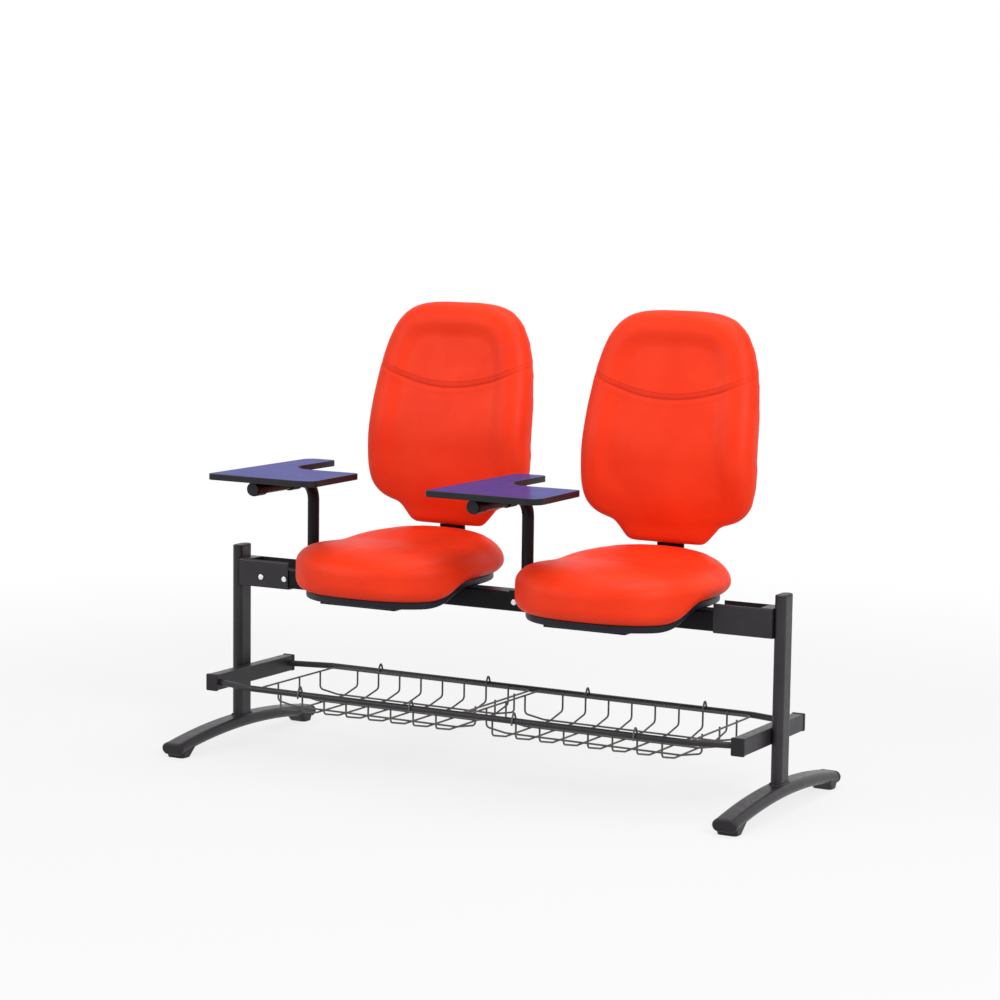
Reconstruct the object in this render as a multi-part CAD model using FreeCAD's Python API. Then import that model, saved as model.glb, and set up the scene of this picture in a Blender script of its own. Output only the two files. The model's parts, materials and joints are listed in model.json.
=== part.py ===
# Two-seat classroom chair: two upholstered seats on one beam, each with a flip-up writing
# tablet, carried by a pair of T-shaped stands with a rack of wire baskets between them.
# Millimetres. X runs along the beam, the sitters face -Y, Z is up and the floor is at Z = 0.
import FreeCAD, Part
import math
import os

V = FreeCAD.Vector

# General fits
contact_gap = 0.3            # between curved faces of different bodies
plug_clearance = 0.1         # plastic plug in a tube
hole_clearance = 0.5         # fastener in its hole, on the diameter
weld_gap = 0.1               # between the touching wires of a basket
past = 1.0                   # cutters run this far past what they cut
outline_steps = 32           # points on a smooth closed outline

# Stands: columns and feet are cut from one flat-oval tube
arm_side_room = 185.0        # from the outer tablet arm to the column beside it
seat_side_room = 344.0       # from the last seat's centre to the other column
oval_thin = 24.0
oval_wide = 50.0
oval_wall = 1.8
column_height = 430.0        # to the top of the column cap
column_cap_head = 5.0
column_cap_round = 3.0
plug_depth = 18.0            # how far plugs reach into tubes

# Feet
foot_crown = 42.0            # centre of the foot tube under the column
foot_drop = 21.0             # how much lower its centre is at the ends
foot_half = 250.0            # half its length
foot_cap_lip = 0.6           # how much larger than the tube a cap's head is, all round
foot_cap_end = 10.0          # length of cap past the tube
foot_cap_round = 4.0
pad_inset = 17.0             # from the end of the tube to the middle of a pad
pad_width = 42.0             # where it stands on the floor
pad_length = 30.0
pad_side_flare = 2.5         # how much further it reaches at its top
pad_outer_flare = 6.0
pad_inner_flare = 18.0
pad_height = 20.0
pad_corner = 9.0

# Rack
rack_height = 149.0          # centre of crossbars and rails
crossbar_length = 300.0      # over its end plugs
crossbar_width = 26.0
crossbar_height = 34.0
crossbar_wall = 1.5
crossbar_corner = 2.5
crossbar_plug_head = 6.0
crossbar_plug_lip = 1.0
rail_diameter = 13.0
rail_wall = 1.2
rail_spread = 320.0          # between the rails' straight runs
rail_end_spread = 272.0      # between their ends
rail_end_run = 92.0          # length of the slanted ends
rail_bend = 60.0

# Beam and its brackets
plate = 3.0                  # sheet of the brackets
bracket_bottom = 343.0
bracket_height = 60.0
bracket_length = 126.0
bracket_bridge = 26.0        # closed part of the top, next to the column
bracket_bend = 5.0           # outer radius of its folds
beam_depth = 50.0
beam_height = 40.0
beam_wall = 2.0
beam_corner = 3.0
beam_end_gap = 6.0
bracket_bolt_first = 70.0    # from the column centre
bracket_bolt_pitch = 60.0

# Fasteners
bolt_diameter = 8.0
bolt_head = 13.0
bolt_head_height = 4.5
bolt_head_round = 2.7
nut_height = 6.5
screw_diameter = 5.0
screw_head = 9.0
screw_head_height = 3.0
screw_head_round = 1.8

# Seats
seat_pitch = 524.0
seat_half_width = 205.0
seat_half_depth = 207.0
seat_centre_y = -13.0
seat_squareness = 2.6        # power of the plan outline, 2 is an ellipse
front_drop = 36.0            # the front edge curls down by this much
drop_start = -140.0          # where the curl ends at the front, from the seat centre
drop_run = 114.0
pan_inset = 22.0             # the pan is this much smaller than the cushion
pan_rim = 4.0
pan_floor = 5.0
pan_round = 4.0              # rounding of the pan's lower edge
board_thickness = 9.0
board_clearance = 0.5
cushion_front_height = 34.0  # heights above the board
cushion_crest_height = 57.0
cushion_dip_height = 53.0
cushion_rear_height = 106.0
cushion_roll = 30.0          # rounding of the top edge
cushion_tuck = 18.0          # and of the lower edge
crest_place = 88.0           # from the front edge to the crest of the front roll
dip_end = 95.0               # from the rear edge to where the dip ends
saddle_plate = 4.0
saddle_length = 180.0
saddle_front = -182.0
saddle_rear = 125.0
saddle_cheek_length = 100.0
saddle_bolt_spacing = 70.0
seat_screw_spacing_x = 150.0
seat_screw_front = -166.0
seat_screw_rear = 100.0
seat_screw_length = 16.0

# Backrests
back_bottom = 484.0
back_top = 960.0
back_waist = 640.0           # height of the widest place
back_half_width = 194.0
back_heel = 520.0            # lower edge of the wide part
back_dome_power = 4.0
back_heel_power = 4.0
back_taper = 0.06            # share by which it narrows from the waist to the top
tongue_half_width = 88.0     # at its lower end
tongue_spread = 42.0         # how much wider it is, each side, where it meets the wide part
tongue_overlap = 15.0        # how far it reaches into the wide part
tongue_corner = 16.0
shell_rear_y = 200.0         # rear face of the shell at the bottom
shell_thickness = 6.0
shell_inset = 12.0
shell_round = 3.0            # rounding of the shell's rear edge
lean_start = 560.0           # upright below, leaning back above
lean_slope = 0.15
lean_bend = 300.0
back_pad = 54.0              # cushion thickness over the upper back
back_lumbar_pad = 59.0       # and at the waist
back_tongue_pad = 20.0       # and at the lower end
back_roll = 17.0
tongue_roll = 8.0
bar_width = 60.0
bar_thickness = 6.0
bar_front = 36.0             # front end, under the saddle plate
bar_bend = 26.0
bar_top = 735.0
bar_bolt_first = 62.0
bar_bolt_pitch = 28.0
back_screw_heights = (600.0, 655.0, 710.0)
back_screw_length = 22.0

# Tablet arms
arm_offset = 227.0           # from the seat centre towards -X
arm_diameter = 25.0
arm_wall = 2.0
arm_bend = 45.0
arm_axis_height = 583.0
arm_reach = 226.0            # from the post to the open end
arm_saddle_length = 52.0
arm_saddle_drop = 34.0
arm_bolt_spacing = 28.0
arm_plug_head = 5.0
arm_plug_lip = 1.5
lug_length = 26.0
lug_reach = 36.0
lug_height = 10.0

# Tablets
hinge_clearance = 0.08       # radial running clearance on the arm
strap_band = 2.5
strap_width = 32.0
strap_flange = 22.0
strap_inset = 6.0            # from the rear edge of the board's wide part
tablet_thickness = 13.0
edge_band = 2.0
edge_round = 1.2
tablet_left = 103.0          # from the arm to the outer edge
tablet_right = 160.0         # from the arm to the lap edge
tablet_front = 246.0         # from the post to the front edge
tablet_rear = 138.0          # from the post to the rear edge
tablet_wing_rear = 58.0      # the wide part ends this far in front of the post
tablet_strip = 72.0          # width of the arm rest strip
tablet_skew = 8.0            # the front edge is not quite square
tablet_notch_round = 62.0
tablet_lap_round = 30.0
tablet_corner_round = 11.0
tablet_rear_round = 24.0
tablet_screw_diameter = 4.0
tablet_screw_length = 12.0
tablet_screw_head = 7.2
tablet_screw_head_height = 2.4
tablet_screw_head_round = 1.4

# Baskets
wire = 4.0
basket_end_room = 5.0        # from the end of the rails' straight runs
basket_gap = 14.0
basket_shift = 10.0
basket_depth = 49.0          # from the rail axis to the bottom wires
basket_shoulder = 37.0       # from the rail axis to where the sides slope in
basket_floor_half = 95.0
basket_end_slope = 45.0
cross_wire_end = 59.0        # from the end of a basket to its first cross wire
cross_wire_count = 8
hooked_wires = (1, 6)
long_wire_places = (-82.0, 0.0, 82.0)
rim_corner = 14.0
wire_bend = 9.0
wire_stub = 3.0              # wire ends stand above the rim axis
hook_rise = 22.0
hook_knee = 2.0
hook_tail = 8.0
hook_bend = 4.0

# Worked out from the sizes above
column_x = (arm_side_room + arm_offset + seat_pitch + seat_side_room) / 2
column_face_x = column_x - oval_thin / 2
crossbar_x = column_face_x - crossbar_width / 2
crossbar_face_x = crossbar_x - crossbar_width / 2
beam_bottom = bracket_bottom + plate
beam_top = beam_bottom + beam_height
beam_axis_z = beam_bottom + beam_height / 2
beam_half_length = column_face_x - plate - beam_end_gap
saddle_top = beam_top + saddle_plate
cushion_base = saddle_top + pan_floor + board_thickness
first_seat_x = arm_side_room + arm_offset - column_x
seat_places = {"left": first_seat_x, "right": first_seat_x + seat_pitch}
strap_radius = arm_diameter / 2 + hinge_clearance + strap_band
tablet_bottom = arm_axis_height + strap_radius
foot_arc = (foot_half ** 2 + foot_drop ** 2) / (2 * foot_drop)
rail_knee = crossbar_face_x - rail_end_run
basket_length = rail_knee - basket_end_room - basket_gap / 2
cross_wire_pitch = (basket_length - 2 * cross_wire_end) / (cross_wire_count - 1)
basket_centre = (basket_length + basket_gap) / 2
basket_places = {"left": basket_shift - basket_centre, "right": basket_shift + basket_centre}
far = 2000.0                 # larger than anything, for cutting solids

parts = {}


def box(low, high):
    size = V(*high) - V(*low)
    return Part.makeBox(size.x, size.y, size.z, V(*low))


def cylinder(radius, start, end):
    along = end - start
    return Part.makeCylinder(radius, along.Length, start, along)


def unit(vector):
    return vector * (1 / vector.Length)


# Closed outline with a rounding at each corner
def rounded_outline(corners, roundings):
    edges = []
    count = len(corners)
    ends = []
    for index, corner in enumerate(corners):
        along = unit(corner - corners[index - 1])
        onward = unit(corners[(index + 1) % count] - corner)
        half = along.getAngle(onward) / 2
        reach = roundings[index] * math.tan(half)
        inside = roundings[index] / math.cos(half) - roundings[index]
        middle = corner + unit(onward - along) * inside
        ends.append((corner - along * reach, middle, corner + onward * reach))
    for index, (enter, middle, leave) in enumerate(ends):
        edges.append(Part.Arc(enter, middle, leave).toShape())
        edges.append(line(leave, ends[(index + 1) % count][0]))
    return Part.Wire(edges)


def closed_face(edges):
    return Part.Face(Part.Wire(Part.__sortEdges__(edges)))


def line(start, end):
    return Part.LineSegment(start, end).toShape()


def spline(points, closed=False):
    curve = Part.BSplineCurve()
    curve.interpolate(Points=points, PeriodicFlag=closed)
    return curve.toShape()


def moved(shape, x=0, y=0, z=0):
    copy = shape.copy()
    copy.translate(V(x, y, z))
    return copy


def half_turn(shape):
    copy = shape.copy()
    copy.rotate(V(0, 0, 0), V(0, 0, 1), 180)
    return copy


def edges_along(shape, direction):
    picked = []
    for edge in shape.Edges:
        straight = isinstance(edge.Curve, (Part.Line, Part.LineSegment))
        if straight and abs(abs(edge.tangentAt(edge.FirstParameter).dot(direction)) - 1) < 1e-6:
            picked.append(edge)
    return picked


# Straight runs joined by tangent arcs
def bent_path(points, bends):
    edges = []
    start = points[0]
    for before, corner, after, bend in zip(points, points[1:], points[2:], bends):
        along = unit(corner - before)
        onward = unit(after - corner)
        half = along.getAngle(onward) / 2
        enter = corner - along * (bend * math.tan(half))
        leave = corner + onward * (bend * math.tan(half))
        middle = corner + unit(onward - along) * (bend / math.cos(half) - bend)
        edges.append(line(start, enter))
        edges.append(Part.Arc(enter, middle, leave).toShape())
        start = leave
    edges.append(line(start, points[-1]))
    return edges


def bent_rod(points, bend, diameter):
    path = Part.Wire(bent_path(points, [bend] * (len(points) - 2)))
    ring = Part.Wire(Part.makeCircle(diameter / 2, points[0], points[1] - points[0]))
    return path.makePipeShell([ring], True, False)


def bent_tube(points, bend, diameter, wall):
    return bent_rod(points, bend, diameter).cut(bent_rod(points, bend, diameter - 2 * wall))


# Flat-oval face around the origin: thin along X, wide along Y
def oval_face(thin, wide):
    radius = thin / 2
    straight = wide / 2 - radius
    corners = [V(radius, -straight), V(radius, straight), V(-radius, straight), V(-radius, -straight)]
    return closed_face([
        line(corners[0], corners[1]),
        Part.Arc(corners[1], V(0, wide / 2), corners[2]).toShape(),
        line(corners[2], corners[3]),
        Part.Arc(corners[3], V(0, -wide / 2), corners[0]).toShape(),
    ])


def oval_bar(thin, wide, low, high):
    return moved(oval_face(thin, wide), z=low).extrude(V(0, 0, high - low))


def rounded_rectangle(width, length, corner, z):
    block = Part.makeBox(width, length, 1, V(-width / 2, -length / 2, z))
    block = block.makeFillet(corner, edges_along(block, V(0, 0, 1)))
    return min(block.Faces, key=lambda face: face.CenterOfMass.z).OuterWire


# Fasteners, along a direction with the head's seat at a point
def button_bolt(seat, direction, diameter, length, head, head_height, head_round):
    cap = cylinder(head / 2, seat - direction * head_height, seat)
    rim = max(cap.Edges, key=lambda edge: (edge.CenterOfMass - seat).dot(direction * -1))
    cap = cap.makeFillet(head_round, [rim])
    return cap.fuse(cylinder(diameter / 2, seat, seat + direction * length)).removeSplitter()


def hex_nut(centre, direction, height, bore):
    corner = V(bolt_head / 2 / math.cos(math.radians(30)), 0, 0)
    ring = [centre + FreeCAD.Rotation(direction, angle).multVec(corner) for angle in range(0, 420, 60)]
    block = Part.Face(Part.makePolygon(ring)).extrude(direction * height)
    return block.cut(cylinder(bore / 2, centre - direction * past, centre + direction * (height + past)))


def bored(shape, diameter, start, end):
    return shape.cut(cylinder(diameter / 2, start, end))


nuts = []
bracket_bolts = []
bolt_hole = bolt_diameter + hole_clearance
screw_hole = screw_diameter + hole_clearance


# Stand on the -X side; its twin is the same stand turned half round
def foot_bar(thin, wide, reach):
    centre_z = foot_crown - foot_arc
    half_angle = math.degrees(reach / foot_arc)
    section = oval_face(thin, wide)
    section.rotate(V(0, 0, 0), V(0, 0, 1), 90)
    section.rotate(V(0, 0, 0), V(1, 0, 0), 90)
    section.translate(V(-column_x, 0, foot_crown))
    pivot = V(-column_x, 0, centre_z)
    section.rotate(pivot, V(1, 0, 0), half_angle)
    return section.revolve(pivot, V(1, 0, 0), -2 * half_angle)


foot_reach = foot_arc * math.asin(foot_half / foot_arc)
foot_outer = foot_bar(oval_thin, oval_wide, foot_reach)
foot_inner = foot_bar(oval_thin - 2 * oval_wall, oval_wide - 2 * oval_wall, foot_reach + past)
foot = foot_outer.cut(foot_inner)

column_tube_top = column_height - column_cap_head
column_outer = moved(oval_bar(oval_thin, oval_wide, foot_crown, column_tube_top), x=-column_x)
column_bore = oval_bar(oval_thin - 2 * oval_wall, oval_wide - 2 * oval_wall, 0, column_height)
column = column_outer.cut(moved(column_bore, x=-column_x)).cut(foot_outer)

cap_head = oval_bar(oval_thin, oval_wide, column_tube_top, column_height)
cap_rim = [edge for edge in cap_head.Edges if edge.BoundBox.ZMin > column_height - plug_clearance]
cap_head = cap_head.makeFillet(column_cap_round, cap_rim)
spigot_loss = 2 * (oval_wall + plug_clearance)
cap_spigot = oval_bar(oval_thin - spigot_loss, oval_wide - spigot_loss,
                      column_tube_top - plug_depth, column_tube_top)
column_cap = moved(cap_head.fuse(cap_spigot).removeSplitter(), x=-column_x)

# Cap in each end of the foot: a head, a spigot in the tube, and a pad under it that stands on the floor
cap_heads = foot_bar(oval_thin + 2 * foot_cap_lip, oval_wide + 2 * foot_cap_lip, foot_reach + foot_cap_end)
end_edges = []
for end_face in cap_heads.Faces:
    if abs(end_face.CenterOfMass.y) > foot_half:
        end_edges += end_face.Edges
cap_heads = cap_heads.makeFillet(foot_cap_round, end_edges)
cap_heads = cap_heads.cut(foot_bar(oval_thin + 2 * past, oval_wide + 2 * past, foot_reach))
spigots = foot_bar(oval_thin - spigot_loss, oval_wide - spigot_loss, foot_reach)
spigots = spigots.cut(foot_bar(oval_thin, oval_wide, foot_reach - plug_depth))
foot_caps = []
for end in (-1, 1):
    room = box((-far, min(0, end * far), 0), (far, max(0, end * far), far))
    pad_top = rounded_rectangle(pad_width + 2 * pad_side_flare,
                                pad_length + pad_outer_flare + pad_inner_flare, pad_corner, pad_height)
    pad_top = moved(pad_top, y=end * (pad_outer_flare - pad_inner_flare) / 2)
    pad_foot = rounded_rectangle(pad_width, pad_length, pad_corner, 0)
    foot_pad = moved(Part.makeLoft([pad_foot, pad_top], True, True),
                     x=-column_x, y=end * (foot_half - pad_inset))
    foot_cap = cap_heads.fuse(spigots).common(room).fuse(foot_pad.cut(foot_outer))
    foot_caps.append(foot_cap.removeSplitter())

tube_half = crossbar_length / 2 - crossbar_plug_head


def crossbar_block(shrink, half_length, corner):
    block = box((-crossbar_width / 2 + shrink, -half_length, -crossbar_height / 2 + shrink),
                (crossbar_width / 2 - shrink, half_length, crossbar_height / 2 - shrink))
    block = block.makeFillet(corner, edges_along(block, V(0, 1, 0)))
    return moved(block, x=-crossbar_x, z=rack_height)


crossbar_outer = crossbar_block(0, tube_half, crossbar_corner)
bore_corner = crossbar_corner - crossbar_wall
crossbar = crossbar_outer.cut(crossbar_block(crossbar_wall, tube_half + past, bore_corner))
spigot_corner = bore_corner + plug_clearance
spigot_bar = crossbar_block(crossbar_wall + plug_clearance, tube_half, spigot_corner)
head_bar = crossbar_block(-crossbar_plug_lip, crossbar_length / 2, crossbar_corner)
crossbar_plugs = []
for end in (-1, 1):
    tube_end = end * tube_half
    spigot_end = end * (tube_half - plug_depth)
    head_room = box((-far, min(tube_end, end * far), 0), (far, max(tube_end, end * far), far))
    spigot_room = box((-far, min(tube_end, spigot_end), 0), (far, max(tube_end, spigot_end), far))
    plug_head = head_bar.common(head_room)
    outer_face = max(plug_head.Faces, key=lambda face: face.CenterOfMass.y * end)
    plug_head = plug_head.makeFillet(crossbar_plug_lip, outer_face.Edges)
    plug = plug_head.fuse(spigot_bar.common(spigot_room)).cut(column_outer).removeSplitter()
    crossbar_plugs.append(plug)

bracket_half_depth = beam_depth / 2 + plate
bracket_top = bracket_bottom + bracket_height
bracket_end = -column_face_x + bracket_length
bracket = box((-column_face_x, -bracket_half_depth, bracket_bottom),
              (bracket_end, bracket_half_depth, bracket_top))
bracket = bracket.makeFillet(bracket_bend, edges_along(bracket, V(1, 0, 0)))
bracket = bracket.cut(box((-column_face_x + plate, -beam_depth / 2, beam_bottom),
                          (far, beam_depth / 2, bracket_top - plate)))
bracket = bracket.cut(box((-column_face_x + bracket_bridge, -beam_depth / 2, beam_bottom),
                          (far, beam_depth / 2, far)))


def beam_block(shrink, half_length):
    block = box((-half_length, -beam_depth / 2 + shrink, beam_bottom + shrink),
                (half_length, beam_depth / 2 - shrink, beam_top - shrink))
    return block.makeFillet(beam_corner - shrink, edges_along(block, V(1, 0, 0)))


beam = beam_block(0, beam_half_length).cut(beam_block(beam_wall, beam_half_length + past))
inward = V(0, 1, 0)
for place in (bracket_bolt_first, bracket_bolt_first + bracket_bolt_pitch):
    seat = V(-column_x + place, -bracket_half_depth, beam_axis_z)
    nut_seat = V(seat.x, -beam_depth / 2 + beam_wall, beam_axis_z)
    grip = plate + beam_wall + nut_height
    bracket = bored(bracket, bolt_hole, seat - inward * past, seat + inward * (plate + past))
    hole = cylinder(bolt_hole / 2, seat, nut_seat + inward * past)
    beam = beam.cut(hole).cut(half_turn(hole))
    bolt = button_bolt(seat, inward, bolt_diameter, grip,
                       bolt_head, bolt_head_height, bolt_head_round)
    nut = hex_nut(nut_seat, inward, nut_height, bolt_hole)
    bracket_bolts += [bolt, half_turn(bolt)]
    nuts += [nut, half_turn(nut)]

stand = {"column": [column], "column_cap": [column_cap], "foot": [foot], "foot_caps": foot_caps,
         "crossbar": [crossbar], "beam_bracket": [bracket]}
for name, solids in stand.items():
    parts[name + "_left"] = solids
    parts[name + "_right"] = [half_turn(solid) for solid in solids]
parts["crossbar_plugs"] = crossbar_plugs + [half_turn(plug) for plug in crossbar_plugs]
parts["bracket_bolts"] = bracket_bolts

# Rack rails, cut square against the crossbars
between_crossbars = box((-crossbar_face_x, -far, 0), (crossbar_face_x, far, far))
for name, side in (("rail_front", -1), ("rail_rear", 1)):
    rail_y = side * rail_spread / 2
    end_y = side * rail_end_spread / 2
    end_x = crossbar_face_x + crossbar_width
    end_y += (end_y - rail_y) / rail_end_run * crossbar_width
    route = [V(-end_x, end_y, rack_height), V(-rail_knee, rail_y, rack_height),
             V(rail_knee, rail_y, rack_height), V(end_x, end_y, rack_height)]
    rail = bent_tube(route, rail_bend, rail_diameter, rail_wall)
    parts[name] = [rail.common(between_crossbars)]


# Plan outline of the seat, drawn in by an inset
def seat_outline(inset):
    power = 2 / seat_squareness
    points = []
    for step in range(outline_steps):
        angle = 2 * math.pi * step / outline_steps
        across = math.copysign(abs(math.cos(angle)) ** power, math.cos(angle))
        along = math.copysign(abs(math.sin(angle)) ** power, math.sin(angle))
        points.append(V(across * (seat_half_width - inset), along * (seat_half_depth - inset), 0))
    return points


def seat_prism(inset):
    outline = Part.Face(Part.Wire(spline(seat_outline(inset), closed=True)))
    return moved(outline, y=seat_centre_y).extrude(V(0, 0, far))


# Side profile of the pan: flat under the sitter, curled down at the front
def pan_profile(z):
    low = z - front_drop
    radius = (drop_run ** 2 + front_drop ** 2) / (4 * front_drop)
    lean = math.asin(drop_run / 2 / radius)
    start = seat_centre_y + drop_start
    finish = start + drop_run
    middle = V(0, start + drop_run / 2, z - front_drop / 2)
    rise = V(0, start + radius * math.sin(lean / 2), low + radius * (1 - math.cos(lean / 2)))
    crest = V(0, finish - radius * math.sin(lean / 2), z - radius * (1 - math.cos(lean / 2)))
    return [
        line(V(0, -far, low), V(0, start, low)),
        Part.Arc(V(0, start, low), rise, middle).toShape(),
        Part.Arc(middle, crest, V(0, finish, z)).toShape(),
        line(V(0, finish, z), V(0, far, z)),
    ]


# Everything above the pan profile at one height
def above_profile(z):
    edges = pan_profile(z)
    edges.append(line(V(0, far, z), V(0, far, far)))
    edges.append(line(V(0, far, far), V(0, -far, far)))
    edges.append(line(V(0, -far, far), V(0, -far, z - front_drop)))
    return moved(closed_face(edges), x=-far).extrude(V(2 * far, 0, 0))


# Everything under the cushion's top
def under_cushion_top():
    front = seat_centre_y - seat_half_depth
    rear = seat_centre_y + seat_half_depth
    heights = ((front - cushion_roll, cushion_front_height), (front + crest_place, cushion_crest_height),
               (seat_centre_y, cushion_dip_height), (rear - dip_end, cushion_dip_height),
               (rear + cushion_roll, cushion_rear_height))
    points = [V(0, y, cushion_base + height) for y, height in heights]
    front_foot = V(0, points[0].y, 0)
    rear_foot = V(0, points[-1].y, 0)
    edges = [spline(points), line(points[-1], rear_foot), line(rear_foot, front_foot),
             line(front_foot, points[0])]
    return moved(closed_face(edges), x=-far).extrude(V(2 * far, 0, 0))


# The outline of the faces that look along a direction
def rim_edges(shape, direction):
    edges = []
    for face in shape.Faces:
        if face.normalAt(*face.Surface.parameter(face.CenterOfMass)).dot(direction) > 0.5:
            edges += face.Edges
    return [edge for edge in edges if sum(edge.isSame(other) for other in edges) == 1]


pan_bottom = saddle_top
board_bottom = pan_bottom + pan_floor
pan_inner = pan_inset + pan_rim
pan = seat_prism(pan_inset).common(above_profile(pan_bottom)).cut(above_profile(cushion_base))
pan = pan.makeFillet(pan_round, rim_edges(pan, V(0, 0, -1)))
pan = pan.cut(seat_prism(pan_inner).common(above_profile(board_bottom)))
board = seat_prism(pan_inner + board_clearance).common(above_profile(board_bottom))
board = board.cut(above_profile(cushion_base))
cushion = seat_prism(0).common(above_profile(cushion_base)).common(under_cushion_top())


# The edges of the face that lies furthest along an axis
def outermost_edges(shape, axis):
    return max(shape.Faces, key=lambda face: face.CenterOfMass.dot(axis)).Edges


cushion = cushion.makeFillet(cushion_roll, outermost_edges(cushion, V(0, 0, 1)))
cushion = cushion.makeFillet(cushion_tuck, rim_edges(cushion, V(0, 0, -1)))

# Formed plate under the pan, with two cheeks that straddle the beam
cheek_y = beam_depth / 2 + saddle_plate
saddle = box((-saddle_length / 2, saddle_front, 0), (saddle_length / 2, saddle_rear, far))
saddle = saddle.common(above_profile(pan_bottom - saddle_plate)).cut(above_profile(pan_bottom))
cheeks = box((-saddle_cheek_length / 2, -cheek_y, beam_bottom),
             (saddle_cheek_length / 2, cheek_y, beam_top))
cheeks = cheeks.cut(box((-far, -beam_depth / 2, 0), (far, beam_depth / 2, far)))
saddle = saddle.fuse(cheeks).removeSplitter()

# Flat bar from under the seat up the back of the shell
lean_length = math.hypot(1, lean_slope)
bar_axis_y = shell_rear_y + bar_thickness / 2
bar_axis_z = beam_top - bar_thickness / 2


# The line of the shell's rear face, moved rearwards by an offset
def lean_corner(offset):
    return V(0, shell_rear_y + offset, lean_start + offset * (1 - lean_length) / lean_slope)


def lean_point(z, offset=0):
    corner = lean_corner(offset)
    return V(0, corner.y + lean_slope * (z - corner.z), z)


def lean_profile(low, high, offset):
    corner = lean_corner(offset)
    return bent_path([V(0, corner.y, low), corner, lean_point(high, offset)], [lean_bend - offset])


bar_route = [V(0, bar_front, bar_axis_z), V(0, bar_axis_y, bar_axis_z), lean_corner(bar_thickness / 2),
             lean_point(bar_top, bar_thickness / 2)]
bar_section = Part.makePolygon([
    V(-bar_width / 2, bar_front, bar_axis_z - bar_thickness / 2),
    V(bar_width / 2, bar_front, bar_axis_z - bar_thickness / 2),
    V(bar_width / 2, bar_front, bar_axis_z + bar_thickness / 2),
    V(-bar_width / 2, bar_front, bar_axis_z + bar_thickness / 2),
    V(-bar_width / 2, bar_front, bar_axis_z - bar_thickness / 2),
])
bar_path = Part.Wire(bent_path(bar_route, [bar_bend, lean_bend - bar_thickness / 2]))
back_bar = bar_path.makePipeShell([bar_section], True, False)


# Backrest outlines in the XZ plane, drawn in by an inset
def back_prism(inset):
    points = []
    for step in range(outline_steps):
        angle = 2 * math.pi * step / outline_steps
        upper = math.sin(angle) >= 0
        power = 2 / (back_dome_power if upper else back_heel_power)
        height = (back_top - back_waist if upper else back_waist - back_heel) - inset
        across = math.copysign(abs(math.cos(angle)) ** power, math.cos(angle))
        along = math.copysign(abs(math.sin(angle)) ** power, math.sin(angle))
        across *= 1 - back_taper * max(along, 0)
        points.append(V(across * (back_half_width - inset), 0, back_waist + along * height))
    return Part.Face(Part.Wire(spline(points, closed=True))).extrude(V(0, far, 0))


def tongue_prism(inset):
    low = back_bottom + inset
    high = back_heel + tongue_overlap
    half = tongue_half_width - inset
    wide = half + tongue_spread
    outline = Part.makePolygon([V(-half, 0, low), V(half, 0, low), V(wide, 0, high), V(-wide, 0, high),
                                V(-half, 0, low)])
    block = Part.Face(outline).extrude(V(0, far, 0))
    corners = [edge for edge in edges_along(block, V(0, 1, 0)) if edge.CenterOfMass.z < back_heel]
    return block.makeFillet(tongue_corner - inset, corners)


# Solid between two side profiles, right across the backrest
def between_profiles(front_edges, rear_edges):
    front = Part.Wire(Part.__sortEdges__(front_edges))
    rear = Part.Wire(Part.__sortEdges__(rear_edges))
    closing = []
    for pick in (min, max):
        ends = [pick(wire.Vertexes, key=lambda vertex: vertex.Z).Point for wire in (front, rear)]
        closing.append(line(ends[0], ends[1]))
    face = closed_face(front.Edges + rear.Edges + closing)
    return moved(face, x=-far).extrude(V(2 * far, 0, 0))


shell_front_y = shell_rear_y - shell_thickness
profile_low = back_bottom - back_roll
profile_high = back_top + back_roll
shell_room = between_profiles(lean_profile(profile_low, profile_high, -shell_thickness),
                              lean_profile(profile_low, profile_high, 0))


def rounded_shell(outline):
    shell = outline.common(shell_room)
    return shell.makeFillet(shell_round, rim_edges(shell, V(0, 1, 0)))


back_shell = rounded_shell(back_prism(shell_inset)).fuse(rounded_shell(tongue_prism(shell_inset)))
back_shell = back_shell.removeSplitter()

pad_steps = ((profile_low, back_tongue_pad), (back_bottom + tongue_corner, back_tongue_pad),
             (back_waist, back_lumbar_pad), ((back_waist + back_top) / 2, back_pad),
             (profile_high, back_pad))
front_points = []
for height, pad in pad_steps:
    rear_y = max(shell_front_y, lean_point(height, -shell_thickness).y)
    front_points.append(V(0, rear_y - pad, height))
cushion_room = between_profiles([spline(front_points)],
                                lean_profile(profile_low, profile_high, -shell_thickness))
back_cushion = back_prism(0).common(cushion_room)
back_cushion = back_cushion.makeFillet(back_roll, outermost_edges(back_cushion, V(0, -1, 0)))
tongue_room = box((-far, shell_front_y - back_tongue_pad, 0), (far, shell_front_y, far))
back_tongue = tongue_prism(0).common(tongue_room)
back_tongue = back_tongue.makeFillet(tongue_roll, outermost_edges(back_tongue, V(0, -1, 0)))
back_cushion = back_cushion.fuse(back_tongue).removeSplitter()

forward = unit(V(0, -1, lean_slope))
back_screws = []
for height in back_screw_heights:
    screw_seat = lean_point(height, bar_thickness)
    screw_hole_end = screw_seat + forward * (back_screw_length + past)
    back_bar = bored(back_bar, screw_hole, screw_seat - forward * past, screw_hole_end)
    back_shell = bored(back_shell, screw_hole, screw_seat, screw_hole_end)
    back_cushion = bored(back_cushion, screw_hole, screw_seat, screw_hole_end)
    back_screws.append(button_bolt(screw_seat, forward, screw_diameter, back_screw_length,
                                   screw_head, screw_head_height, screw_head_round))

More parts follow.
